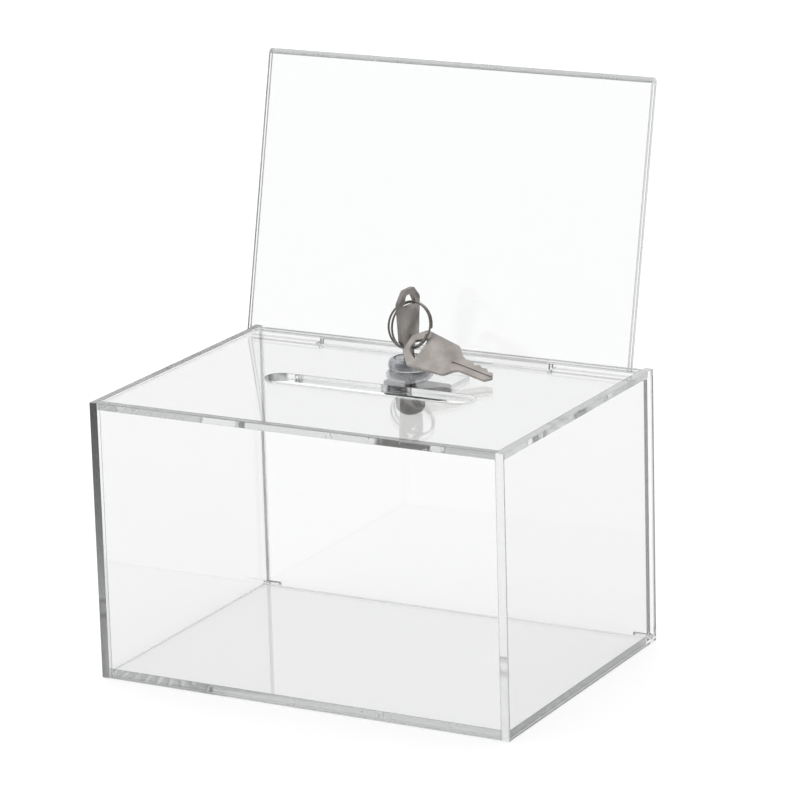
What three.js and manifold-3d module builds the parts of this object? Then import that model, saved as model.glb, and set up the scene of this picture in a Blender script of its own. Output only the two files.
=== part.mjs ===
// Clear acrylic donation box with a leaning sign holder, a cam lock and two keys.
// Millimetres, +Z up. Origin: centre of the box's footprint, on its underside.
// +X is to the right and +Y to the rear, seen from the front.

import * as THREE from 'three';
import { mergeVertices } from 'three/addons/utils/BufferGeometryUtils.js';
import Module from 'manifold-3d';

const wasm = await Module();
wasm.setup();

// ---------------------------------------------------------------- dimensions

const BOX_WIDTH = 160;
const BOX_DEPTH = 115;
const BOX_HEIGHT = 100;
const WALL = 3;
const GLUE_GAP = 0.02;                 // glue line between butted sheets
const CUT_GAP = 0.3;                   // clearance around pieces that pass through others

const HALF_WIDTH = BOX_WIDTH / 2;
const HALF_DEPTH = BOX_DEPTH / 2;
const INNER_HALF_WIDTH = HALF_WIDTH - WALL;
const INNER_FRONT = -HALF_DEPTH + WALL;
const CEILING = BOX_HEIGHT - WALL;

const REAR_RECESS = 1.8;               // door and top stop this far inside the side panels
const DOOR_REAR = HALF_DEPTH - REAR_RECESS;
const DOOR_FRONT = DOOR_REAR - WALL;
const DOOR_SIDE_GAP = 0.4;
const DOOR_TOP_GAP = 0.4;
const DOOR_BOTTOM = 0.6;
const BOTTOM_REAR = 51.5;              // leaves room for the door's lower edge to swing
const PIVOT_Y = (DOOR_FRONT + DOOR_REAR) / 2;
const PIVOT_Z = 2.4;
const PIN_RADIUS = 0.8;
const PIN_REACH = 5;                   // into the door, from its edge

const SLOT_LENGTH = 82;
const SLOT_WIDTH = 11;
const SLOT_Y = -3;

const SIGN_WIDTH = 153;
const SIGN_LEAF = 1.5;
const SIGN_POCKET = 1;
const SIGN_LEAN = THREE.MathUtils.degToRad(13);
const SIGN_FOOT_Y = 43.8;              // front face of the holder at the top panel's upper face
const SIGN_TOP = 104.2;                // along the leaf, from the top panel's upper face
const SIGN_SHOULDER = 1.6;
const SIGN_TAB_WIDTH = 92;
const SIGN_TAB_DROP = 4.4;             // along the leaf, below the top panel's upper face
const SIGN_SLOT_FRONT = 42.2;
const SIGN_SLOT_REAR = 48.5;
const SIGN_SLOT_WIDTH = 93.6;

const LOCK_Y = 26.5;
const FLANGE_RADIUS = 7.5;
const FLANGE_TOP = BOX_HEIGHT + 3.6;
const FLANGE_BOTTOM = BOX_HEIGHT + 0.1;
const BARREL_RADIUS = 5.8;
const BARREL_BOTTOM = 92.3;
const BORE_RADIUS = 4.5;
const RECESS_RADIUS = 5.3;             // seat for the plug's head
const RECESS_FLOOR = 102.2;
const NUT_RADIUS = 8.25;               // across corners
const NUT_TOP = CEILING - 0.1;
const NUT_BOTTOM = 93.6;

const PLUG_RADIUS = 4.2;
const PLUG_HEAD_RADIUS = 5;
const PLUG_HEAD_BOTTOM = RECESS_FLOOR + CUT_GAP;
const PLUG_TOP = FLANGE_TOP - 0.2;
const PLUG_BOTTOM = 92.5;
const TAIL_WIDTH = 5;                  // square drive for the cam
const CAM_TOP = 92;
const CAM_THICKNESS = 2;
const CAM_BOTTOM = CAM_TOP - CAM_THICKNESS;
const CAM_REACH = 16;
const CAM_TAIL = 10;
const CAM_TIP_RADIUS = 4.2;
const CAM_HUB_RADIUS = 6;
const CAM_TAIL_RADIUS = 4.5;
const WASHER_TOP = CAM_BOTTOM - 0.1;
const WASHER_THICKNESS = 0.6;
const WASHER_RADIUS = 5.4;
const WASHER_EAR = 8.6;
const STUD_RADIUS = 2;
const STUD_BOTTOM = 84;
const CAM_NUT_TOP = WASHER_TOP - WASHER_THICKNESS - 0.1;
const CAM_NUT_BOTTOM = 80.5;
const CAM_NUT_RADIUS = 5.2;

const KEY_THICKNESS = 1.5;
const KEY_HOLE_Z = 124.3;              // centre of the upright key's hole
const KEY_REACH = 30.6;                // hole centre to tip
const KEYWAY_BOTTOM = KEY_HOLE_Z - KEY_REACH - CUT_GAP;
const BLADE_HALF = 2.5;
const WAFER_COUNT = 4;
const WAFER_THICKNESS = 0.6;
const WAFER_TOP_Z = 100.4;
const WAFER_PITCH = 1.9;
const WAFER_HALF_X = 2.2;
const WAFER_HALF_Y = 3.5;

const RING_RADIUS = 8.376;             // to the centre of the wire
const RING_WIRE = 0.41;
const RING_PITCH = 0.95;
const RING_SPREAD = 1.2;               // the two turns stand apart opposite the start
const RING_YAW = THREE.MathUtils.degToRad(-6.75);
const RING_TILT = THREE.MathUtils.degToRad(18.64);
const RING_CENTRE = new THREE.Vector3(2.674, 22.963, 116.29);

const SPARE_HOLE = new THREE.Vector3(7.8, 18.54, 109.65);
const SPARE_YAW = THREE.MathUtils.degToRad(-1.2);
const SPARE_DIP = THREE.MathUtils.degToRad(13.9);
const SPARE_LEAN = THREE.MathUtils.degToRad(39.7);   // from lying flat

const TAB_FRONT = 33;
const TAB_HALF_WIDTH = 10;
const TAB_TOP = 89;

// ----------------------------------------------------------------- materials

const acrylic = () => new THREE.MeshStandardMaterial({
  color: 0xeef3f4, roughness: 0.06, metalness: 0, transparent: true, opacity: 0.3 });
const steel = (color, roughness) => new THREE.MeshStandardMaterial({
  color, roughness, metalness: 1 });
const LOCK_COLOUR = 0x8f9399;
const CAM_COLOUR = 0x7d8085;
const KEY_COLOUR = 0xa19a93;
const RING_COLOUR = 0x7c7974;
const BRASS_COLOUR = 0xb08a45;

// ------------------------------------------------------------------- helpers

const bare = (geometry) => {
  const copy = geometry.clone();
  copy.deleteAttribute('normal');
  copy.deleteAttribute('uv');
  return mergeVertices(copy, 1e-4);
};

const solid = (geometry) => {
  const merged = bare(geometry);
  return new wasm.Manifold(new wasm.Mesh({
    numProp: 3,
    vertProperties: new Float32Array(merged.attributes.position.array),
    triVerts: new Uint32Array(merged.index.array),
  }));
};

const toGeometry = (manifold) => {
  const mesh = manifold.getMesh();
  const geometry = new THREE.BufferGeometry();
  geometry.setAttribute('position', new THREE.BufferAttribute(mesh.vertProperties, 3));
  geometry.setIndex(new THREE.BufferAttribute(mesh.triVerts, 1));
  return geometry;
};

const minus = (geometry, ...cutters) => {
  let body = solid(geometry);
  for (const cutter of cutters) {
    body = body.subtract(solid(cutter));
  }
  return toGeometry(body);
};

const plus = (geometry, ...others) => {
  let body = solid(geometry);
  for (const other of others) {
    body = body.add(solid(other));
  }
  return toGeometry(body);
};

// box between two corners
const block = (x0, x1, y0, y1, z0, z1) =>
  new THREE.BoxGeometry(x1 - x0, y1 - y0, z1 - z0)
    .translate((x0 + x1) / 2, (y0 + y1) / 2, (z0 + z1) / 2);

// upright cylinder or cone on the lock's axis
const drum = (radius, z0, z1, sides = 40) =>
  new THREE.CylinderGeometry(radius, radius, z1 - z0, sides)
    .rotateX(Math.PI / 2)
    .translate(0, LOCK_Y, (z0 + z1) / 2);

// flat outline in X and Y, raised from z0 to z1
const plate = (shape, z0, z1, curveSegments = 8) =>
  new THREE.ExtrudeGeometry(shape, { depth: z1 - z0, bevelEnabled: false, curveSegments })
    .translate(0, 0, z0);

// closed outline through corners [x, y, corner radius]
const roundedOutline = (corners, target = new THREE.Shape()) => {
  corners.forEach(([x, y, radius], i) => {
    const here = new THREE.Vector2(x, y);
    const [px, py] = corners[(i + corners.length - 1) % corners.length];
    const [nx, ny] = corners[(i + 1) % corners.length];
    const back = new THREE.Vector2(px, py).sub(here).normalize();
    const ahead = new THREE.Vector2(nx, ny).sub(here).normalize();
    const halfAngle = Math.acos(THREE.MathUtils.clamp(back.dot(ahead), -1, 1)) / 2;
    const cut = radius / Math.tan(halfAngle);
    const enter = here.clone().addScaledVector(back, cut);
    const leave = here.clone().addScaledVector(ahead, cut);
    if (i === 0) {
      target.moveTo(enter.x, enter.y);
    } else {
      target.lineTo(enter.x, enter.y);
    }
    target.quadraticCurveTo(here.x, here.y, leave.x, leave.y);
  });
  target.closePath();
  return target;
};

const stadium = (length, width, y) => {
  const r = width / 2;
  const reach = length / 2 - r;
  const shape = new THREE.Shape();
  shape.moveTo(-reach, y - r);
  shape.lineTo(reach, y - r);
  shape.absarc(reach, y, r, -Math.PI / 2, Math.PI / 2, false);
  shape.lineTo(-reach, y + r);
  shape.absarc(-reach, y, r, Math.PI / 2, 3 * Math.PI / 2, false);
  return shape;
};

const piece = (name, geometry, material) => {
  const mesh = new THREE.Mesh(geometry, material);
  mesh.name = name;
  return mesh;
};

// ----------------------------------------------------------------- the case

const pinHole = (side, from, to) =>
  new THREE.CylinderGeometry(PIN_RADIUS + CUT_GAP, PIN_RADIUS + CUT_GAP, to - from, 20)
    .rotateZ(Math.PI / 2)
    .translate(side * (from + to) / 2, PIVOT_Y, PIVOT_Z);

function sidePanel(side) {
  const inner = side > 0 ? INNER_HALF_WIDTH : -HALF_WIDTH;
  const sheet = block(inner, inner + WALL, -HALF_DEPTH, HALF_DEPTH, 0, BOX_HEIGHT);
  return minus(sheet, pinHole(side, INNER_HALF_WIDTH - 1, HALF_WIDTH + 1));
}

function frontPanel() {
  const reach = INNER_HALF_WIDTH - GLUE_GAP;
  return block(-reach, reach, -HALF_DEPTH, INNER_FRONT, 0, BOX_HEIGHT);
}

function bottomPanel() {
  const reach = INNER_HALF_WIDTH - GLUE_GAP;
  return block(-reach, reach, INNER_FRONT + GLUE_GAP, BOTTOM_REAR, 0, WALL);
}

function topPanel() {
  const reach = INNER_HALF_WIDTH - GLUE_GAP;
  const sheet = block(-reach, reach, INNER_FRONT + GLUE_GAP, DOOR_REAR, CEILING, BOX_HEIGHT);
  const coinSlot = plate(stadium(SLOT_LENGTH, SLOT_WIDTH, SLOT_Y), CEILING - 1, BOX_HEIGHT + 1, 10);
  const signSlot = block(-SIGN_SLOT_WIDTH / 2, SIGN_SLOT_WIDTH / 2,
    SIGN_SLOT_FRONT, SIGN_SLOT_REAR, CEILING - 1, BOX_HEIGHT + 1);
  const lockHole = drum(BARREL_RADIUS + CUT_GAP, CEILING - 1, BOX_HEIGHT + 1);
  return minus(sheet, coinSlot, signSlot, lockHole);
}

function hingePin(side) {
  const inner = INNER_HALF_WIDTH - DOOR_SIDE_GAP - PIN_REACH;
  return new THREE.CylinderGeometry(PIN_RADIUS, PIN_RADIUS, HALF_WIDTH - inner, 20)
    .rotateZ(Math.PI / 2)
    .translate(side * (inner + HALF_WIDTH) / 2, PIVOT_Y, PIVOT_Z);
}

// ----------------------------------------------------------------- the door

function rearDoor() {
  const reach = INNER_HALF_WIDTH - DOOR_SIDE_GAP;
  const sheet = block(-reach, reach, DOOR_FRONT, DOOR_REAR, DOOR_BOTTOM, CEILING - DOOR_TOP_GAP);
  const depth = reach - PIN_REACH - 0.5;
  return minus(sheet, pinHole(-1, depth, reach + 1), pinHole(1, depth, reach + 1));
}

// flat tab with rounded front corners; the locked cam lies over it
function doorTab() {
  const shape = roundedOutline([
    [-TAB_HALF_WIDTH, DOOR_FRONT - GLUE_GAP, 0.01],
    [-TAB_HALF_WIDTH, TAB_FRONT, 3],
    [TAB_HALF_WIDTH, TAB_FRONT, 3],
    [TAB_HALF_WIDTH, DOOR_FRONT - GLUE_GAP, 0.01],
  ]);
  return plate(shape, TAB_TOP - WALL, TAB_TOP, 5);
}

// ---------------------------------------------------------- the sign holder

// Folded sheet seen from its side: u towards the rear across the leaves, v along them.
function signProfile() {
  const thickness = 2 * SIGN_LEAF + SIGN_POCKET;
  const outer = thickness / 2;
  const inner = SIGN_POCKET / 2;
  const bend = SIGN_TOP - outer;
  const foot = -SIGN_TAB_DROP;
  const shape = new THREE.Shape();
  shape.moveTo(0, foot);
  shape.lineTo(SIGN_LEAF, foot);
  shape.lineTo(SIGN_LEAF, bend);
  shape.absarc(outer, bend, inner, Math.PI, 0, true);
  shape.lineTo(SIGN_LEAF + SIGN_POCKET, foot);
  shape.lineTo(thickness, foot);
  shape.lineTo(thickness, bend);
  shape.absarc(outer, bend, outer, 0, Math.PI, false);
  shape.closePath();
  return shape;
}

function signHolder() {
  const sheet = new THREE.ExtrudeGeometry(signProfile(),
    { depth: SIGN_WIDTH, bevelEnabled: false, curveSegments: 10 })
    .rotateX(Math.PI / 2)
    .rotateZ(Math.PI / 2)
    .translate(-SIGN_WIDTH / 2, 0, 0);
  const beside = (side) => {
    const near = SIGN_TAB_WIDTH / 2;
    const far = SIGN_WIDTH / 2 + 1;
    return block(Math.min(side * near, side * far), Math.max(side * near, side * far),
      -1, 6, -SIGN_TAB_DROP - 1, SIGN_SHOULDER);
  };
  return minus(sheet, beside(-1), beside(1));
}

// ----------------------------------------------------------------- the lock

function lockBody() {
  const profile = [
    [BORE_RADIUS, BARREL_BOTTOM],
    [BARREL_RADIUS - 0.4, BARREL_BOTTOM],
    [BARREL_RADIUS, BARREL_BOTTOM + 0.4],
    [BARREL_RADIUS, FLANGE_BOTTOM],
    [FLANGE_RADIUS - 0.2, FLANGE_BOTTOM],
    [FLANGE_RADIUS, FLANGE_BOTTOM + 0.2],
    [FLANGE_RADIUS, FLANGE_BOTTOM + 1.6],
    [FLANGE_RADIUS - 0.3, FLANGE_TOP - 1],
    [FLANGE_RADIUS - 0.9, FLANGE_TOP - 0.3],
    [FLANGE_RADIUS - 1.7, FLANGE_TOP],
    [RECESS_RADIUS, FLANGE_TOP],
    [RECESS_RADIUS, RECESS_FLOOR],
    [BORE_RADIUS, RECESS_FLOOR],
    [BORE_RADIUS, BARREL_BOTTOM],
  ].map(([r, z]) => new THREE.Vector2(r, z));
  return new THREE.LatheGeometry(profile, 48)
    .rotateX(Math.PI / 2)
    .translate(0, LOCK_Y, 0);
}

function lockNut() {
  const hexagon = drum(NUT_RADIUS, NUT_BOTTOM, NUT_TOP, 6).translate(0, -LOCK_Y, 0);
  hexagon.rotateZ(Math.PI / 6).translate(0, LOCK_Y, 0);
  return minus(hexagon, drum(BARREL_RADIUS + CUT_GAP, NUT_BOTTOM - 1, NUT_TOP + 1, 40));
}

const waferZ = (index) => WAFER_TOP_Z - index * WAFER_PITCH;

function lockPlug() {
  const half = TAIL_WIDTH / 2;
  const body = plus(
    drum(PLUG_RADIUS, PLUG_BOTTOM, PLUG_TOP),
    drum(PLUG_HEAD_RADIUS, PLUG_HEAD_BOTTOM, PLUG_TOP),
    block(-half, half, LOCK_Y - half, LOCK_Y + half, CAM_BOTTOM, PLUG_BOTTOM + 0.1),
    drum(STUD_RADIUS, STUD_BOTTOM, CAM_BOTTOM + 0.1, 24));
  const slotX = KEY_THICKNESS / 2 + CUT_GAP;
  const slotY = BLADE_HALF + CUT_GAP;
  const keyway = block(-slotX, slotX, LOCK_Y - slotY, LOCK_Y + slotY, KEYWAY_BOTTOM, PLUG_TOP + 1);
  const pockets = [];
  for (let i = 0; i < WAFER_COUNT; i += 1) {
    const z = waferZ(i);
    const reach = WAFER_HALF_X + CUT_GAP;
    pockets.push(block(-reach, reach, LOCK_Y - PLUG_HEAD_RADIUS, LOCK_Y + PLUG_HEAD_RADIUS,
      z - WAFER_THICKNESS / 2 - CUT_GAP, z + WAFER_THICKNESS / 2 + CUT_GAP));
  }
  return minus(body, keyway, ...pockets);
}

// each tumbler sits a little higher or lower in the plug, as the key lifts it
function wafer(index) {
  const z = waferZ(index);
  const shift = (index % 2 === 0 ? 1 : -1) * 0.15;
  const low = LOCK_Y + shift - WAFER_HALF_Y;
  const high = LOCK_Y + shift + WAFER_HALF_Y;
  const outline = block(-WAFER_HALF_X, WAFER_HALF_X, low, high,
    z - WAFER_THICKNESS / 2, z + WAFER_THICKNESS / 2);
  const windowX = KEY_THICKNESS / 2 + CUT_GAP;
  const windowY = BLADE_HALF + CUT_GAP;
  return minus(outline, block(-windowX, windowX, LOCK_Y - windowY, LOCK_Y + windowY, z - 1, z + 1));
}

function cam() {
  const arm = new THREE.Shape();
  arm.absarc(0, 0, CAM_HUB_RADIUS, Math.PI * 0.3, Math.PI * 0.72, false);
  arm.absarc(-CAM_TAIL + CAM_TAIL_RADIUS, 0, CAM_TAIL_RADIUS, Math.PI * 0.6, Math.PI * 1.4, false);
  arm.absarc(0, 0, CAM_HUB_RADIUS, -Math.PI * 0.72, -Math.PI * 0.3, false);
  arm.absarc(CAM_REACH - CAM_TIP_RADIUS, 0, CAM_TIP_RADIUS, -Math.PI / 2, Math.PI / 2, false);
  arm.closePath();
  const lever = plate(arm, CAM_BOTTOM, CAM_TOP, 12).translate(0, LOCK_Y, 0);
  const hole = TAIL_WIDTH / 2 + CUT_GAP;
  return minus(lever,
    block(-hole, hole, LOCK_Y - hole, LOCK_Y + hole, CAM_BOTTOM - 1, CAM_TOP + 1));
}

function camWasher() {
  const bottom = WASHER_TOP - WASHER_THICKNESS;
  const ear = roundedOutline([
    [0, -2, 0.1], [WASHER_EAR, -1.6, 0.8], [WASHER_EAR, 1.6, 0.8], [0, 2, 0.1]]);
  const disc = plus(
    drum(WASHER_RADIUS, bottom, WASHER_TOP, 32),
    plate(ear, bottom, WASHER_TOP, 4).rotateZ(-Math.PI * 0.22).translate(0, LOCK_Y, 0));
  return minus(disc, drum(STUD_RADIUS + CUT_GAP, bottom - 1, WASHER_TOP + 1, 24));
}

function camNut() {
  const dome = CAM_NUT_RADIUS * 0.75;
  const profile = [
    [STUD_RADIUS + CUT_GAP, CAM_NUT_TOP],
    [STUD_RADIUS + CUT_GAP, STUD_BOTTOM - CUT_GAP],
    [0, STUD_BOTTOM - CUT_GAP],
    [0, CAM_NUT_BOTTOM],
    [dome * 0.6, CAM_NUT_BOTTOM],
    [dome, CAM_NUT_BOTTOM + 0.7],
    [CAM_NUT_RADIUS * 0.93, CAM_NUT_BOTTOM + 2],
    [CAM_NUT_RADIUS, CAM_NUT_BOTTOM + 3.4],
    [CAM_NUT_RADIUS, CAM_NUT_TOP - 0.4],
    [CAM_NUT_RADIUS - 0.4, CAM_NUT_TOP],
    [STUD_RADIUS + CUT_GAP, CAM_NUT_TOP],
  ].map(([r, z]) => new THREE.Vector2(r, z));
  return new THREE.LatheGeometry(profile, 32)
    .rotateX(Math.PI / 2)
    .translate(0, LOCK_Y, 0);
}

// ----------------------------------------------------------------- the keys

// Key blank in X (towards the tip) and Y, with its hole's centre at the origin.
function keyBlank() {
  const shape = roundedOutline([
    [-4.1, -3.4, 1.2],
    [-0.1, -7.75, 1.9],
    [13.8, -6.3, 1.2],
    [16.6, -BLADE_HALF - 0.9, 0.5],
    [18.2, -BLADE_HALF, 0.5],
    [KEY_REACH - 2.2, -BLADE_HALF, 0.6],
    [KEY_REACH, -0.6, 0.8],
    [KEY_REACH - 0.8, 1.4, 0.5],
    [KEY_REACH - 2.2, 0.9, 0.3],
    [KEY_REACH - 3.6, 2.1, 0.3],
    [KEY_REACH - 5, 1.5, 0.3],
    [KEY_REACH - 6.6, 2.3, 0.3],
    [KEY_REACH - 8.2, 1.3, 0.3],
    [KEY_REACH - 9.8, BLADE_HALF, 0.4],
    [18.2, BLADE_HALF, 0.5],
    [16.6, BLADE_HALF + 0.9, 0.5],
    [13.8, 6.3, 1.2],
    [-0.1, 7.75, 1.9],
    [-4.1, 3.4, 1.2],
  ]);
  shape.holes.push(roundedOutline([
    [-2.2, -2.1, 0.9], [-2.2, 2.1, 0.9], [1.95, 5.0, 0.6], [1.95, -5.0, 0.6],
  ], new THREE.Path()));
  return new THREE.ExtrudeGeometry(shape,
    { depth: KEY_THICKNESS, bevelEnabled: false, curveSegments: 4 })
    .translate(0, 0, -KEY_THICKNESS / 2);
}

// upright, tip down, flat faces to the left and right
function keyInLock() {
  return bare(keyBlank())
    .rotateY(Math.PI / 2)
    .translate(0, LOCK_Y, KEY_HOLE_Z);
}

// leaning back in front of the lock, tip to the right and down on the top panel
function spareKey() {
  return bare(keyBlank())
    .rotateX(SPARE_LEAN)
    .rotateY(SPARE_DIP)
    .rotateZ(SPARE_YAW)
    .translate(SPARE_HOLE.x, SPARE_HOLE.y, SPARE_HOLE.z);
}

// Two turns of wire. Local X and Y span the ring and Z is its axis.
class SplitRingCurve extends THREE.Curve {
  getPoint(t, target = new THREE.Vector3()) {
    const turns = 1.96;
    const angle = t * turns * 2 * Math.PI;
    const turn = angle / (2 * Math.PI) - turns / 2;
    const open = Math.sin(angle / 2) ** 8;
    const axial = RING_PITCH * turn + Math.sign(turn) * open * RING_SPREAD / 2;
    return target.set(RING_RADIUS * Math.cos(angle), RING_RADIUS * Math.sin(angle), axial);
  }
}

function keyRing() {
  const section = new THREE.Shape();
  section.absarc(0, 0, RING_WIRE, 0, 2 * Math.PI, false);
  const wire = new THREE.ExtrudeGeometry(section, {
    steps: 112, curveSegments: 4, bevelEnabled: false, extrudePath: new SplitRingCurve() });
  return bare(wire)
    .rotateX(Math.PI / 2)
    .rotateX(-RING_TILT)
    .rotateZ(RING_YAW)
    .translate(RING_CENTRE.x, RING_CENTRE.y, RING_CENTRE.z);
}

// ------------------------------------------------------------- the assembly

const assembly = new THREE.Group();
assembly.add(
  piece('front_panel', frontPanel(), acrylic()),
  piece('left_panel', sidePanel(-1), acrylic()),
  piece('right_panel', sidePanel(1), acrylic()),
  piece('bottom_panel', bottomPanel(), acrylic()),
  piece('top_panel', topPanel(), acrylic()),
  piece('left_hinge_pin', hingePin(-1), acrylic()),
  piece('right_hinge_pin', hingePin(1), acrylic()),
  piece('rear_door', rearDoor(), acrylic()),
  piece('door_tab', doorTab(), acrylic()),
  piece('lock_body', lockBody(), steel(LOCK_COLOUR, 0.3)),
  piece('lock_nut', lockNut(), steel(LOCK_COLOUR, 0.35)),
  piece('lock_plug', lockPlug(), steel(LOCK_COLOUR, 0.35)),
  piece('cam', cam(), steel(CAM_COLOUR, 0.35)),
  piece('cam_washer', camWasher(), steel(CAM_COLOUR, 0.35)),
  piece('cam_nut', camNut(), steel(CAM_COLOUR, 0.4)),
  piece('key_in_lock', keyInLock(), steel(KEY_COLOUR, 0.4)),
  piece('key_ring', keyRing(), steel(RING_COLOUR, 0.3)),
  piece('spare_key', spareKey(), steel(KEY_COLOUR, 0.4)));

for (let i = 0; i < WAFER_COUNT; i += 1) {
  assembly.add(piece(`wafer_${i + 1}`, wafer(i), steel(BRASS_COLOUR, 0.4)));
}

const holder = new THREE.Group();
holder.add(piece('sign_holder', signHolder(), acrylic()));
holder.rotation.x = -SIGN_LEAN;
holder.position.set(0, SIGN_FOOT_Y, BOX_HEIGHT);
assembly.add(holder);

export default assembly;
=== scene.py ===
import math

import bmesh
import bpy
from mathutils import Matrix, Vector


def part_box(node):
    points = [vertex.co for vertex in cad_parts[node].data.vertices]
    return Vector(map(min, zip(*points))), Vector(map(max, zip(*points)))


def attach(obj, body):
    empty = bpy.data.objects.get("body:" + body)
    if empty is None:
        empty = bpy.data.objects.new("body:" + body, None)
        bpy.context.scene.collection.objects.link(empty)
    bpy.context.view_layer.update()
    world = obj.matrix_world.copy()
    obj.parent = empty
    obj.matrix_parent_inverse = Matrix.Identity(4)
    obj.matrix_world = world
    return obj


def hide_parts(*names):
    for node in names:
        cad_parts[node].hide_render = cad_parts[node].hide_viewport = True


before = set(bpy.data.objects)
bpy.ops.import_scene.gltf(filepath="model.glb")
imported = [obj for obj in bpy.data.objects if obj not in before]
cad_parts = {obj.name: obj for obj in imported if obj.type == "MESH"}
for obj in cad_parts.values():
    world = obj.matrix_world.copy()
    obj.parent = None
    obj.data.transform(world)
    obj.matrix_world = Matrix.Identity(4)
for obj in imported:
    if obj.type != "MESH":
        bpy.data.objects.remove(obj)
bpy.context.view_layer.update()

MM = 0.001

# ---------------------------------------------------------------- the design

LOCK_X, LOCK_Y = 0.0, 0.0265
PITCH = 0.0008                   # screw thread
RING_RADIUS = 0.008376
RING_WIRE = 0.00038
RING_PITCH = 0.00095
RING_SPREAD = 0.0012
RING_TURNS = 1.96
RING_YAW = math.radians(-6.75)
RING_TILT = math.radians(18.64)
RING_CENTRE = Vector((0.002674, 0.022963, 0.11629))
KEY_HOLE_Z = 0.1243
SPARE_HOLE = Vector((0.0078, 0.01854, 0.10965))
SPARE_YAW = math.radians(-1.2)
SPARE_DIP = math.radians(13.9)
SPARE_LEAN = math.radians(39.7)
KEY_REACH = 0.0306


def span(node):
    low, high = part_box(node)
    return Vector(low), Vector(high)


# --------------------------------------------------------------- node helpers

class Shader:
    """A small wrapper that adds nodes and links to one material."""

    def __init__(self, name):
        self.material = bpy.data.materials.new(name)
        self.material.use_nodes = True
        self.tree = self.material.node_tree
        self.bsdf = self.tree.nodes["Principled BSDF"]
        self.coords = self.tree.nodes.new("ShaderNodeTexCoord").outputs["Object"]

    def node(self, kind, **settings):
        made = self.tree.nodes.new(kind)
        for key, value in settings.items():
            setattr(made, key, value)
        return made

    def link(self, a, b):
        self.tree.links.new(a, b)

    def set(self, **values):
        for key, value in values.items():
            self.bsdf.inputs[key.replace("_", " ")].default_value = value

    def scaled(self, scale):
        mapping = self.node("ShaderNodeMapping")
        mapping.inputs["Scale"].default_value = scale
        self.link(self.coords, mapping.inputs["Vector"])
        return mapping.outputs["Vector"]

    def noise(self, size_mm, detail=3.0, rough=0.5, stretch=(1, 1, 1), distortion=0.0):
        """Noise whose features are about size_mm across."""
        made = self.node("ShaderNodeTexNoise")
        made.inputs["Scale"].default_value = 1.0
        made.inputs["Detail"].default_value = detail
        made.inputs["Roughness"].default_value = rough
        made.inputs["Distortion"].default_value = distortion
        factor = 1.0 / (size_mm * MM)
        self.link(self.scaled(tuple(factor / s for s in stretch)), made.inputs["Vector"])
        return made.outputs["Fac"]

    def remap(self, value, from_low, from_high, low, high):
        made = self.node("ShaderNodeMapRange")
        made.inputs["From Min"].default_value = from_low
        made.inputs["From Max"].default_value = from_high
        made.inputs["To Min"].default_value = low
        made.inputs["To Max"].default_value = high
        self.link(value, made.inputs["Value"])
        return made.outputs["Result"]

    def math(self, operation, a, b):
        made = self.node("ShaderNodeMath", operation=operation)
        for socket, value in zip(made.inputs, (a, b)):
            if isinstance(value, (int, float)):
                socket.default_value = value
            else:
                self.link(value, socket)
        return made.outputs[0]

    def ramp(self, value, stops):
        made = self.node("ShaderNodeValToRGB")
        elements = made.color_ramp.elements
        while len(elements) < len(stops):
            elements.new(0.5)
        for element, (place, colour) in zip(elements, stops):
            element.position = place
            element.color = (*colour, 1)
        self.link(value, made.inputs["Fac"])
        return made.outputs["Color"]

    def bump(self, heights, distance_mm, strength=1.0):
        made = self.node("ShaderNodeBump")
        made.inputs["Strength"].default_value = strength
        made.inputs["Distance"].default_value = distance_mm * MM
        self.link(heights, made.inputs["Height"])
        self.link(made.outputs["Normal"], self.bsdf.inputs["Normal"])
        return made


def absorbing(s, density, colour=(0.43, 0.445, 0.44)):
    """Long paths inside the sheet come out greyer than short ones; density is per metre."""
    volume = s.node("ShaderNodeVolumeAbsorption")
    volume.inputs["Color"].default_value = (*colour, 1)
    volume.inputs["Density"].default_value = density
    output = next(n for n in s.tree.nodes if n.type == "OUTPUT_MATERIAL")
    s.link(volume.outputs["Volume"], output.inputs["Volume"])


def acrylic_face(name, tint, density):
    """Polished cast sheet: nearly perfect, with faint smudges and hairline scratches."""
    s = Shader(name)
    absorbing(s, density)
    s.set(Base_Color=(*tint, 1), IOR=1.49, Transmission_Weight=1.0)
    smudge = s.noise(14, detail=4, rough=0.55)
    scratch = s.noise(0.5, detail=2, stretch=(30, 1, 6), distortion=0.6)
    film = s.remap(smudge, 0.52, 0.8, 0.0, 0.035)
    lines = s.remap(scratch, 0.68, 0.8, 0.0, 0.05)
    s.link(s.math("MAXIMUM", film, lines), s.bsdf.inputs["Roughness"])
    wave = s.noise(38, detail=1.5)
    s.bump(wave, 0.02, 0.35)
    return s.material


def acrylic_edge(name, tint, rough, density, clear=1.0):
    """Cut edge: fine traces of the saw, and matt where clear is below one."""
    s = Shader(name)
    absorbing(s, density)
    s.set(Base_Color=(*tint, 1), IOR=1.49, Transmission_Weight=clear)
    traces = s.noise(0.35, detail=3, rough=0.6)
    patches = s.noise(5, detail=3)
    haze = s.remap(patches, 0.35, 0.75, rough * 0.4, rough * 2.4)
    s.link(haze, s.bsdf.inputs["Roughness"])
    s.bump(traces, 0.012, 0.5)
    return s.material


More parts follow.
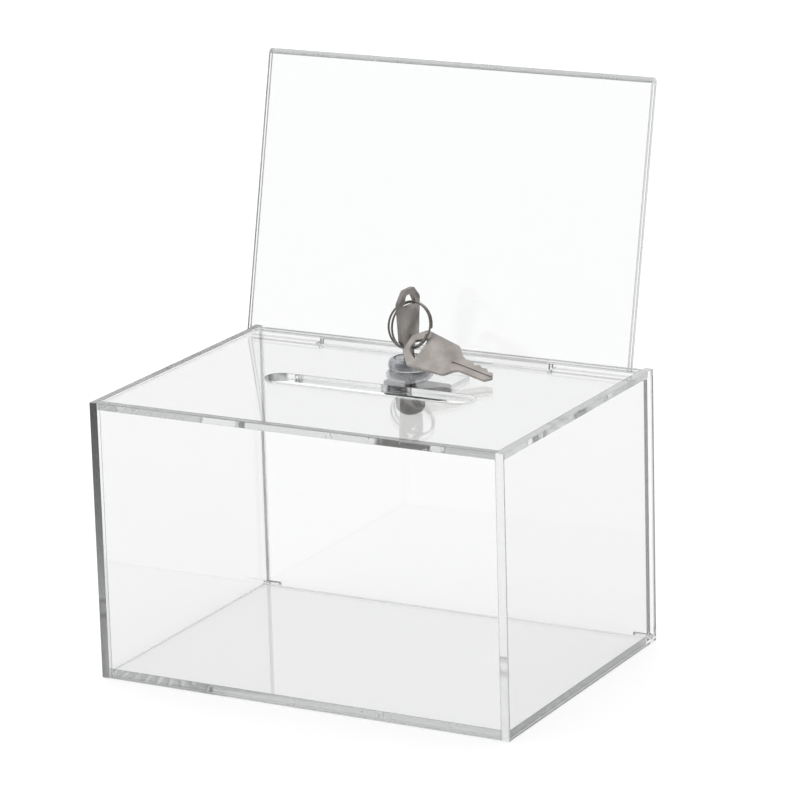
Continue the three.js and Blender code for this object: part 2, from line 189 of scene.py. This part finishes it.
def glued_edge(name, density):
    """Solvent-welded joint: clear where it wetted, with small dry spots and bubbles."""
    s = Shader(name)
    absorbing(s, density)
    s.set(Base_Color=(0.93, 0.95, 0.955, 1), IOR=1.49, Transmission_Weight=1.0)
    cells = s.node("ShaderNodeTexVoronoi")
    cells.inputs["Scale"].default_value = 1.0
    s.link(s.scaled((1 / (1.6 * MM),) * 3), cells.inputs["Vector"])
    spots = s.remap(cells.outputs["Distance"], 0.12, 0.3, 1.0, 0.0)
    patches = s.remap(s.noise(9, detail=2), 0.5, 0.62, 0.0, 1.0)
    dry = s.math("MULTIPLY", spots, patches)
    s.link(s.remap(dry, 0, 1, 0.04, 0.45), s.bsdf.inputs["Roughness"])
    s.bump(dry, 0.05, 0.6)
    return s.material


def metal(name, light, dark, rough, grain=(1, 1, 1), grain_mm=0.12, wear_mm=4.0, bump_mm=0.01):
    """Plated or bare metal with grain, tarnish and small dents."""
    s = Shader(name)
    s.set(Metallic=1.0)
    tarnish = s.noise(wear_mm, detail=5, rough=0.6)
    fine = s.noise(grain_mm, detail=3, stretch=grain)
    mixed = s.math("ADD", s.math("MULTIPLY", tarnish, 0.7), s.math("MULTIPLY", fine, 0.3))
    colour = s.ramp(mixed, [(0.33, dark), (0.62, light)])
    s.link(colour, s.bsdf.inputs["Base Color"])
    s.link(s.remap(mixed, 0.3, 0.7, rough * 1.5, rough * 0.7), s.bsdf.inputs["Roughness"])
    s.bump(fine, bump_mm, 0.7)
    return s.material


def acrylic(name, tint, density):
    """Face, polished edge and glued edge of one sheet."""
    edge_tint = tuple(0.5 + 0.5 * value for value in tint)
    return (acrylic_face(name + "_face", tint, density),
            acrylic_edge(name + "_polished_edge", edge_tint, POLISHED, density),
            glued_edge(name + "_glued_edge", density))


POLISHED = 0.06                   # roughness of a flame-polished edge
# Painted shade and light: the panels are one acrylic, yet each gets its own tint and density so
# that its strips and bands come out darker or lighter.
WALL_SHEET = acrylic("wall_acrylic", (0.94, 0.942, 0.94), 7.0)
# The door's left end is a matt sawn edge; its dark grey tint is painted shade that darkens the
# lines there.
REAR_SHEET = WALL_SHEET[:2] + (acrylic_edge("door_sawn_edge_painted_shade", (0.42, 0.43, 0.43), 0.2, 7.0, 0.15),)
# The left panel's rear edge is sawn and matt; its grey tint is painted shade that darkens the left
# strip.
LEFT_SHEET = acrylic("left_acrylic", (0.91, 0.912, 0.908), 11.0)[:2] + (
    acrylic_edge("left_sawn_edge_painted_shade", (0.8, 0.81, 0.81), 0.1, 11.0, 0.86),)
RIGHT_SHEET = acrylic("right_acrylic", (0.875, 0.877, 0.875), 2.5)
BOTTOM_SHEET = acrylic("bottom_acrylic", (0.99, 0.992, 0.99), 5.0)
TOP_SHEET = acrylic("top_acrylic", (0.878, 0.881, 0.878), 1.5)
SLOT_WALL = acrylic_edge("milled_slot_wall", (0.93, 0.94, 0.94), 0.15, 1.5, 0.6)
SIGN_FACE = acrylic_face("sign_sheet_face", (0.972, 0.975, 0.974), 4.0)
SIGN_EDGE = acrylic_edge("sign_sheet_edge", (0.95, 0.96, 0.965), 0.2, 4.0, 0.15)
# Painted shade: the fold strips get a darker tint to draw the grey line along the bend.
SIGN_FOLD_SHADE = acrylic_edge("sign_sheet_fold_painted_shade", (0.80, 0.81, 0.815), 0.15, 4.0, 0.6)
PIN_ROD = acrylic_edge("pivot_pin_rod", (0.93, 0.94, 0.94), 0.06, 4.0)
NICKEL = metal("nickel_plate", (0.44, 0.455, 0.47), (0.26, 0.27, 0.285), 0.26)
# Painted shade: a darker copy of the nickel for the barrel below the flange.
SHADED_THREAD = metal("threaded_nickel_painted_shade", (0.36, 0.37, 0.385), (0.19, 0.195, 0.205), 0.32)
CAM_PLATE = metal("cam_plate", (0.20, 0.204, 0.21), (0.11, 0.113, 0.118), 0.45, wear_mm=2.5)
PLATED = metal("zinc_plate", (0.30, 0.305, 0.31), (0.16, 0.165, 0.17), 0.36, wear_mm=2.5)
KEY_METAL = metal("key_blank", (0.55, 0.51, 0.48), (0.44, 0.407, 0.38), 0.42,
                  grain=(1, 1, 14), grain_mm=0.06, wear_mm=6, bump_mm=0.006)
# Painted shade: a darker copy of the key blank for the upright key in the lock.
KEY_SHADED = metal("key_blank_painted_shade", (0.36, 0.335, 0.315), (0.25, 0.232, 0.22), 0.4,
                 grain=(1, 1, 14), grain_mm=0.06, wear_mm=6, bump_mm=0.006)
WIRE = metal("ring_wire", (0.33, 0.315, 0.295), (0.16, 0.152, 0.14), 0.26, grain_mm=0.2, wear_mm=3)
BRASS = metal("wafer_brass", (0.74, 0.56, 0.27), (0.5, 0.36, 0.16), 0.35)

# --------------------------------------------------------------- mesh helpers


def finish_mesh(name, bm, materials, body, nodes, sharp=32.0, weighted=True):
    """Turns bm into an object that rides on body and stands for the CAD nodes."""
    limit = math.radians(sharp)
    for face in bm.faces:
        face.smooth = True
    for edge in bm.edges:
        edge.smooth = edge.is_manifold and edge.calc_face_angle(0) < limit
    mesh = bpy.data.meshes.new(name)
    bm.to_mesh(mesh)
    bm.free()
    for material in materials:
        mesh.materials.append(material)
    made = bpy.data.objects.new(name, mesh)
    bpy.context.scene.collection.objects.link(made)
    if weighted:
        modifier = made.modifiers.new("normals", "WEIGHTED_NORMAL")
        modifier.keep_sharp = True
        modifier.weight = 100
    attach(made, body)
    if nodes:
        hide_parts(*nodes)
    return made


def cad_mesh(node):
    """The CAD node's own shape, with its flat faces made whole again."""
    bm = bmesh.new()
    bm.from_mesh(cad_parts[node].data)
    bmesh.ops.remove_doubles(bm, verts=bm.verts, dist=2e-6)
    bmesh.ops.dissolve_limit(bm, angle_limit=math.radians(0.6), verts=bm.verts, edges=bm.edges)
    bmesh.ops.recalc_face_normals(bm, faces=bm.faces)
    return bm


def soften(bm, width, segments=2, angle=40.0):
    """Bevels every edge sharper than angle."""
    sharp = [e for e in bm.edges if e.is_manifold and e.calc_face_angle(0) > math.radians(angle)]
    bmesh.ops.bevel(bm, geom=sharp, offset=width, segments=segments, profile=0.5,
                    affect="EDGES", clamp_overlap=True)


def paint_edges(bm, across, glued=(), milled=()):
    """Slot 0 on the big faces across that axis, 1 on the rim, 2 where glued and 3 where milled."""
    for face in bm.faces:
        normal = face.normal
        face.material_index = 0 if abs(normal[across]) > 0.9 else 1
        if face.material_index == 1:
            centre = face.calc_center_median()
            if any(test(centre, normal) for test in glued):
                face.material_index = 2
            if any(test(centre, normal) for test in milled):
                face.material_index = 3


def grid_surface(bm, rows):
    """Skins rows of points, each a closed ring of the same length."""
    rings = [[bm.verts.new(p) for p in row] for row in rows]
    count = len(rings[0])
    for low, high in zip(rings, rings[1:]):
        for i in range(count):
            j = (i + 1) % count
            bm.faces.new((low[i], low[j], high[j], high[i]))
    return rings


def turned(profile, centre, segments=96, ripple=None):
    """Rows of points for a profile [(r, z)] turned about the vertical line through centre."""
    rows = []
    for r, z in profile:
        row = []
        for i in range(segments):
            a = 2 * math.pi * i / segments
            radius = ripple(r, z, a) if ripple else r
            row.append((centre[0] + radius * math.cos(a), centre[1] + radius * math.sin(a), z))
        rows.append(row)
    return rows


def closed_turn(profile, centre, segments=96, ripple=None):
    bm = bmesh.new()
    rings = grid_surface(bm, turned(profile, centre, segments, ripple))
    count = segments
    first, last = rings[0], rings[-1]
    for i in range(count):
        j = (i + 1) % count
        bm.faces.new((last[i], last[j], first[j], first[i]))
    bmesh.ops.recalc_face_normals(bm, faces=bm.faces)
    return bm


def rounded(profile, radius, steps=3):
    """Rounds the corners of an open (r, z) profile."""
    out = [profile[0]]
    for before, here, after in zip(profile, profile[1:], profile[2:]):
        b, h, a = Vector(before), Vector(here), Vector(after)
        cut = min(radius, (b - h).length * 0.45, (a - h).length * 0.45)
        start, end = h + (b - h).normalized() * cut, h + (a - h).normalized() * cut
        for k in range(steps + 1):
            t = k / steps
            out.append(tuple((1 - t) ** 2 * start + 2 * t * (1 - t) * h + t * t * end))
    out.append(profile[-1])
    return out


# ------------------------------------------------------------------ the sheets

SHEET_BEVEL = 0.22 * MM
SIDE_JOINT = 76.9 * MM            # sheets end against the side panels past this
FRONT_JOINT = -54.4 * MM          # and against the front panel before this
SLOT_END_X = (-45 * MM, -35 * MM)
SLOT_END_Y = (-12 * MM, 8 * MM)


def sheet(node, across, body, glued=(), bevel=SHEET_BEVEL, slots=WALL_SHEET, milled=()):
    bm = cad_mesh(node)
    soften(bm, bevel)
    paint_edges(bm, across, glued, milled)
    return finish_mesh(node + "_sheet", bm, slots, body, [node])


def sideways(centre, normal):
    return abs(centre.x) > SIDE_JOINT


def facing_front(centre, normal):
    return centre.y < FRONT_JOINT


def facing_rear(centre, normal):
    return normal.y > 0.7


def left_slot_end(centre, normal):
    return SLOT_END_X[0] < centre.x < SLOT_END_X[1] and SLOT_END_Y[0] < centre.y < SLOT_END_Y[1]


def left_end(centre, normal):
    return normal.x < -0.7 and centre.x < 0


sheet("front_panel", 1, "case", [sideways])
sheet("left_panel", 0, "case", [facing_rear], slots=LEFT_SHEET)
sheet("right_panel", 0, "case", slots=RIGHT_SHEET)
sheet("bottom_panel", 2, "case", [sideways, facing_front], slots=BOTTOM_SHEET)
sheet("top_panel", 2, "case", [sideways, facing_front], slots=TOP_SHEET + (SLOT_WALL,),
      milled=[left_slot_end])
sheet("rear_door", 1, "door", [left_end], slots=REAR_SHEET)
sheet("door_tab", 2, "door", bevel=0.15 * MM)


SIGN_LEAN = math.radians(13)
FOLD_LOW = 0.15                   # rims below this are the foot, strips above it the fold
FOLD_STRIP = 0.002                # square metres; the leaves are far bigger


def sign_holder():
    bm = cad_mesh("sign_holder")
    soften(bm, 0.14 * MM)
    leaf_normal = Vector((0, math.cos(SIGN_LEAN), -math.sin(SIGN_LEAN)))
    for face in bm.faces:
        rim = abs(face.normal.x) > 0.5 or (
            abs(face.normal.dot(leaf_normal)) < 0.5 and face.calc_center_median().z < FOLD_LOW)
        folded = not rim and face.calc_center_median().z > FOLD_LOW
        # Small strips above FOLD_LOW take slot 2, the darker fold tint: painted shade along the
        # bend.
        face.material_index = 2 if folded and face.calc_area() < FOLD_STRIP else int(rim)
    return finish_mesh("sign_holder_sheet", bm, (SIGN_FACE, SIGN_EDGE, SIGN_FOLD_SHADE), "sign",
                       ["sign_holder"], sharp=25)


sign_holder()

# -------------------------------------------------------------------- the lock


DECK = 0.1001                     # underside of the flange, on the top panel
FLANGE_FLOOR = 0.1022             # bottom of the recess round the keyway


def lock_body():
    low, high = span("lock_body")
    bore, seat = 4.5 * MM, 5.3 * MM
    barrel, flange = 5.8 * MM, (high.x - low.x) / 2
    deck = DECK
    floor = FLANGE_FLOOR
    top, foot = high.z, low.z
    outer = rounded([
        (bore, floor), (seat, floor), (seat, top), (flange - 1.7 * MM, top),
        (flange - 0.5 * MM, top - 0.7 * MM), (flange, top - 1.9 * MM), (flange, deck),
        (barrel, deck)], 0.35 * MM, 4)
    steps = 6
    turns = int((deck - foot - 0.8 * MM) / PITCH * steps)
    thread = [(barrel, deck - 0.4 * MM - i * PITCH / steps) for i in range(1, turns)]
    profile = outer + thread + [(barrel - 0.45 * MM, foot + 0.05 * MM), (barrel - 0.7 * MM, foot),
                                (bore, foot)]
    depth = 0.38 * MM

    def ripple(r, z, a):
        if abs(r - barrel) > 1e-6 or z > deck - 0.3 * MM:
            return r
        fade = min(1.0, (deck - 0.3 * MM - z) / (0.6 * MM))
        phase = (z / PITCH - a / (2 * math.pi)) % 1.0
        return r - depth * fade * (1 - abs(2 * phase - 1))

    bm = closed_turn(profile, (LOCK_X, LOCK_Y), 96, ripple)
    for face in bm.faces:
        # Faces below the deck take the darker nickel copy: painted shade under the flange.
        face.material_index = 1 if face.calc_center_median().z < deck - 0.2 * MM else 0
    finish_mesh("lock_barrel_and_flange", bm, (NICKEL, SHADED_THREAD), "case",
                ["lock_body"], sharp=60, weighted=False)


def lock_nut():
    low, high = span("lock_nut")
    across_flats = 14.3 * MM
    chamfer = 0.7 * MM
    inner = 6.1 * MM
    z0, z1 = low.z, high.z
    corner = across_flats / 2 / math.cos(math.pi / 6)
    levels = [0, 0.25, 0.5, 0.75, 1]
    cut = [(z0 + chamfer * k, corner - chamfer * 1.5 * (1 - k)) for k in levels]
    cut += [(z1 - chamfer * (1 - k), corner - chamfer * 1.5 * k) for k in levels]

    def outline(r, z, a):
        if r < 6.5 * MM:
            return r
        turn = (a + math.pi / 6) % (math.pi / 3) - math.pi / 6
        return min(r, across_flats / 2 / math.cos(turn))

    profile = [(inner, z0)] + [(r, z) for z, r in cut] + [(inner, z1)]
    bm = closed_turn(profile, (LOCK_X, LOCK_Y), 144, outline)
    finish_mesh("lock_hex_nut", bm, (NICKEL,), "case", ["lock_nut"],
                sharp=24, weighted=False)


def cad_metal(node, name, body, material, width=0.12 * MM, angle=35.0):
    bm = cad_mesh(node)
    soften(bm, width, 2, angle)
    return finish_mesh(name, bm, (material,), body, [node], sharp=35)


def cam_nut():
    low, high = span("cam_nut")
    radius = (high.x - low.x) / 2
    z0, z1 = low.z, high.z
    flats = radius * 0.93

    def wrench(r, z, a):
        if z < z0 + 2.6 * MM or r < radius * 0.7:
            return r
        turn = (a + math.pi / 6) % (math.pi / 3) - math.pi / 6
        return min(r, flats / math.cos(turn))

    dome = [(radius * math.sin(t), z0 + 3.4 * MM * (1 - math.cos(t)))
            for t in [math.pi / 2 * k / 10 for k in range(11)]]
    dome[0] = (0.05 * MM, z0)
    profile = dome + [(radius, z1 - 0.5 * MM), (radius * 0.9, z1), (2.3 * MM, z1),
                      (2.3 * MM, z1 - 4 * MM), (0.05 * MM, z1 - 4 * MM)]
    bm = closed_turn(profile, (LOCK_X, LOCK_Y), 96, wrench)
    finish_mesh("cam_dome_nut", bm, (PLATED,), "plug", ["cam_nut"],
                sharp=40, weighted=False)


lock_body()
lock_nut()
cam_nut()
cad_metal("lock_plug", "lock_core", "plug", NICKEL, 0.1 * MM)
cad_metal("cam", "cam_lever", "plug", CAM_PLATE, 0.2 * MM)
cad_metal("cam_washer", "cam_tab_washer", "plug", PLATED, 0.08 * MM)
for side in ("left", "right"):
    cad_metal(side + "_hinge_pin", side + "_pivot_pin", "case", PIN_ROD, 0.1 * MM)
for i in range(1, 5):
    cad_metal(f"wafer_{i}", f"tumbler_{i}", "plug", BRASS, 0.05 * MM)

# -------------------------------------------------------------------- the keys


def boolean_cut(piece, cutters):
    """Cuts bm objects out of piece and applies the result."""
    for cutter in cutters:
        modifier = piece.modifiers.new("cut", "BOOLEAN")
        modifier.operation = "DIFFERENCE"
        modifier.solver = "EXACT"
        modifier.object = cutter
    depsgraph = bpy.context.evaluated_depsgraph_get()
    mesh = bpy.data.meshes.new_from_object(piece.evaluated_get(depsgraph))
    bm = bmesh.new()
    bm.from_mesh(mesh)
    bpy.data.meshes.remove(mesh)
    return bm


def slug(x0, x1, y, half, z0, z1):
    """A long block with round ends, for milling a groove."""
    bm = bmesh.new()
    outline = []
    for cx, start in ((x1, -math.pi / 2), (x0, math.pi / 2)):
        for k in range(9):
            a = start + math.pi * k / 8
            outline.append((cx + half * math.cos(a), y + half * math.sin(a)))
    bottom = [bm.verts.new((x, v, z0)) for x, v in outline]
    top = [bm.verts.new((x, v, z1)) for x, v in outline]
    bm.faces.new(bottom[::-1])
    bm.faces.new(top)
    for i in range(len(outline)):
        j = (i + 1) % len(outline)
        bm.faces.new((bottom[i], bottom[j], top[j], top[i]))
    mesh = bpy.data.meshes.new("groove_cutter")
    bm.to_mesh(mesh)
    bm.free()
    made = bpy.data.objects.new("groove_cutter", mesh)
    bpy.context.scene.collection.objects.link(made)
    return made


KEY_THICKNESS = 1.5 * MM
GROOVE_START = 15 * MM            # from the hole, along the blade
GROOVE_DEPTH = 0.35 * MM
NEAR_GROOVE = (-0.75 * MM, 0.55 * MM)      # place across the blade, and half width
FAR_GROOVE = (0.65 * MM, 0.5 * MM)


def key(node, name, body, placement, material):
    """The CAD blank, with eased edges and a milled groove down each side."""
    cad = cad_mesh(node)
    cad.transform(placement.inverted())
    mesh = bpy.data.meshes.new(name + "_blank")
    cad.to_mesh(mesh)
    cad.free()
    blank = bpy.data.objects.new(name + "_blank", mesh)
    bpy.context.scene.collection.objects.link(blank)
    half = KEY_THICKNESS / 2
    start, end = GROOVE_START, KEY_REACH + 2 * MM
    cutters = [slug(start, end, *NEAR_GROOVE, half - GROOVE_DEPTH, half + MM),
               slug(start, end, *FAR_GROOVE, -half - MM, -half + GROOVE_DEPTH)]
    bm = boolean_cut(blank, cutters)
    for used in cutters + [blank]:
        bpy.data.objects.remove(used)
    bmesh.ops.remove_doubles(bm, verts=bm.verts, dist=2e-6)
    bmesh.ops.dissolve_limit(bm, angle_limit=math.radians(0.6), verts=bm.verts, edges=bm.edges)
    soften(bm, 0.1 * MM, 2, 50)
    bm.transform(placement)
    bmesh.ops.recalc_face_normals(bm, faces=bm.faces)
    finish_mesh(name, bm, (material,), body, [node], sharp=30)


upright = Matrix.Translation((LOCK_X, LOCK_Y, KEY_HOLE_Z)) @ Matrix.Rotation(math.pi / 2, 4, "Y")
lying = (Matrix.Translation(SPARE_HOLE) @ Matrix.Rotation(SPARE_YAW, 4, "Z")
         @ Matrix.Rotation(SPARE_DIP, 4, "Y") @ Matrix.Rotation(SPARE_LEAN, 4, "X"))
# The key in the lock gets the darker copy of the blank: painted shade.
key("key_in_lock", "upright_key", "key", upright, KEY_SHADED)
key("spare_key", "lying_key", "spare", lying, KEY_METAL)


def key_ring():
    """Two turns of round wire, standing apart where the keys were threaded on."""
    place = (Matrix.Translation(RING_CENTRE) @ Matrix.Rotation(RING_YAW, 4, "Z")
             @ Matrix.Rotation(math.pi / 2 - RING_TILT, 4, "X"))

    def along(t):
        angle = t * RING_TURNS * 2 * math.pi
        turn = angle / (2 * math.pi) - RING_TURNS / 2
        apart = math.sin(angle / 2) ** 8 * math.copysign(RING_SPREAD / 2, turn)
        return Vector((RING_RADIUS * math.cos(angle), RING_RADIUS * math.sin(angle),
                       RING_PITCH * turn + apart))

    steps, sides = 320, 16
    rows = []
    for i in range(steps + 1):
        t = i / steps
        here = along(t)
        ahead = (along(min(1, t + 1e-4)) - along(max(0, t - 1e-4))).normalized()
        out = Vector((here.x, here.y, 0)).normalized()
        side = ahead.cross(out).normalized()
        out = side.cross(ahead)
        scale = 0.7 if i in (0, steps) else 1.0
        rows.append([here + (out * math.cos(b) + side * math.sin(b)) * RING_WIRE * scale
                     for b in [2 * math.pi * k / sides for k in range(sides)]])
    bm = bmesh.new()
    rings = grid_surface(bm, rows)
    bm.faces.new(rings[0][::-1])
    bm.faces.new(rings[-1])
    bm.transform(place)
    bmesh.ops.recalc_face_normals(bm, faces=bm.faces)
    finish_mesh("split_ring", bm, (WIRE,), "ring", ["key_ring"], sharp=40,
                weighted=False)


key_ring()

# ------------------------------------------------------------ floor and light


FLOOR_SIDES = 96
FLOOR_RADII = (0.0, 0.4, 1.2, 3.0, 8.0, 20.0)
FLOOR_Z = -0.0002                 # just under the box, so that the two don't coincide


def studio_floor():
    bm = bmesh.new()
    rings = []
    for radius in FLOOR_RADII:
        count = 1 if radius == 0 else FLOOR_SIDES
        rings.append([bm.verts.new((radius * math.cos(2 * math.pi * i / count),
                                    radius * math.sin(2 * math.pi * i / count), FLOOR_Z))
                      for i in range(count)])
    for i in range(FLOOR_SIDES):
        bm.faces.new((rings[0][0], rings[1][i], rings[1][(i + 1) % FLOOR_SIDES]))
    for low, high in zip(rings[1:], rings[2:]):
        for i in range(FLOOR_SIDES):
            j = (i + 1) % FLOOR_SIDES
            bm.faces.new((low[i], high[i], high[j], low[j]))
    mesh = bpy.data.meshes.new("studio_floor")
    bm.to_mesh(mesh)
    bm.free()
    s = Shader("pale_floor")
    s.set(Base_Color=(0.36, 0.36, 0.36, 1), Roughness=0.75, Specular_IOR_Level=0.2)
    s.set(Emission_Color=(1, 1, 1, 1), Emission_Strength=0.80)
    s.bump(s.noise(3, detail=2), 0.02, 0.2)
    mesh.materials.append(s.material)
    floor = bpy.data.objects.new("studio_floor", mesh)
    bpy.context.scene.collection.objects.link(floor)


CAMERA_AZIMUTH = math.radians(28.85)
CAMERA_ELEVATION = math.radians(15.61)
CAMERA_ROLL = math.radians(-1.61)
CAMERA_DISTANCE = 1.504
CAMERA_FOCUS = 4298 / 800            # focal length over image width
CAMERA_AIM = Vector((0, 0, 0.05))
CAMERA_SLIDE = (0.0079, 0.0431)


def studio_world():
    """White sweep behind the box and to its left, greyer studio elsewhere."""
    world = bpy.data.worlds.new("studio")
    bpy.context.scene.world = world
    world.use_nodes = True
    tree = world.node_tree
    background = tree.nodes["Background"]
    coords = tree.nodes.new("ShaderNodeTexCoord")
    dot = tree.nodes.new("ShaderNodeVectorMath")
    dot.operation = "DOT_PRODUCT"
    bright = CAMERA_AZIMUTH + math.radians(22)
    ahead = (-math.sin(bright), math.cos(bright), 0.25)
    dot.inputs[1].default_value = ahead
    tree.links.new(coords.outputs["Generated"], dot.inputs[0])
    ramp = tree.nodes.new("ShaderNodeValToRGB")
    stops = [(0.0, 0.40), (0.5, 0.5), (0.72, 0.95), (0.78, 1.02)]
    while len(ramp.color_ramp.elements) < len(stops):
        ramp.color_ramp.elements.new(0.5)
    for element, (place, grey) in zip(ramp.color_ramp.elements, stops):
        element.position = place
        element.color = (grey, grey, grey * 1.005, 1)
    shift = tree.nodes.new("ShaderNodeMapRange")
    shift.inputs["From Min"].default_value = -1
    shift.inputs["From Max"].default_value = 1
    tree.links.new(dot.outputs["Value"], shift.inputs["Value"])
    tree.links.new(shift.outputs["Result"], ramp.inputs["Fac"])
    tree.links.new(ramp.outputs["Color"], background.inputs["Color"])
    background.inputs["Strength"].default_value = 1.0


def softbox(name, place, target, size, power):
    light = bpy.data.lights.new(name, "AREA")
    light.shape = "RECTANGLE"
    light.size, light.size_y = size
    light.energy = power
    made = bpy.data.objects.new(name, light)
    made.location = place
    made.rotation_mode = "QUATERNION"
    made.rotation_quaternion = (Vector(target) - Vector(place)).to_track_quat("-Z", "Y")
    bpy.context.scene.collection.objects.link(made)


def camera():
    back = Vector((math.sin(CAMERA_AZIMUTH) * math.cos(CAMERA_ELEVATION),
                   -math.cos(CAMERA_AZIMUTH) * math.cos(CAMERA_ELEVATION),
                   math.sin(CAMERA_ELEVATION)))
    right = Vector((math.cos(CAMERA_AZIMUTH), math.sin(CAMERA_AZIMUTH), 0))
    up = back.cross(right)
    turned_right = right * math.cos(CAMERA_ROLL) + up * math.sin(CAMERA_ROLL)
    turned_up = up * math.cos(CAMERA_ROLL) - right * math.sin(CAMERA_ROLL)
    place = (CAMERA_AIM + back * CAMERA_DISTANCE + turned_right * CAMERA_SLIDE[0]
             + turned_up * CAMERA_SLIDE[1])
    data = bpy.data.cameras.new("camera")
    data.sensor_width = 36
    data.lens = 36 * CAMERA_FOCUS
    data.clip_start = 0.01
    data.clip_end = 100
    made = bpy.data.objects.new("camera", data)
    made.matrix_world = Matrix((
        (turned_right.x, turned_up.x, back.x, place.x),
        (turned_right.y, turned_up.y, back.y, place.y),
        (turned_right.z, turned_up.z, back.z, place.z),
        (0, 0, 0, 1)))
    bpy.context.scene.collection.objects.link(made)
    bpy.context.scene.camera = made


studio_floor()
studio_world()
softbox("overhead", (-0.6, 0.8, 3.2), (0, 0, 0), (2.6, 2.6), 12)
softbox("rear_left", (-2.6, 2.4, 1.6), (0, 0, 0.1), (1.6, 1.6), 4)
camera()

scene = bpy.context.scene
scene.view_settings.view_transform = "Standard"
scene.cycles.max_bounces = 48
scene.cycles.transmission_bounces = 32
scene.cycles.glossy_bounces = 40
scene.cycles.transparent_max_bounces = 16
scene.cycles.caustics_reflective = True
scene.cycles.caustics_refractive = True
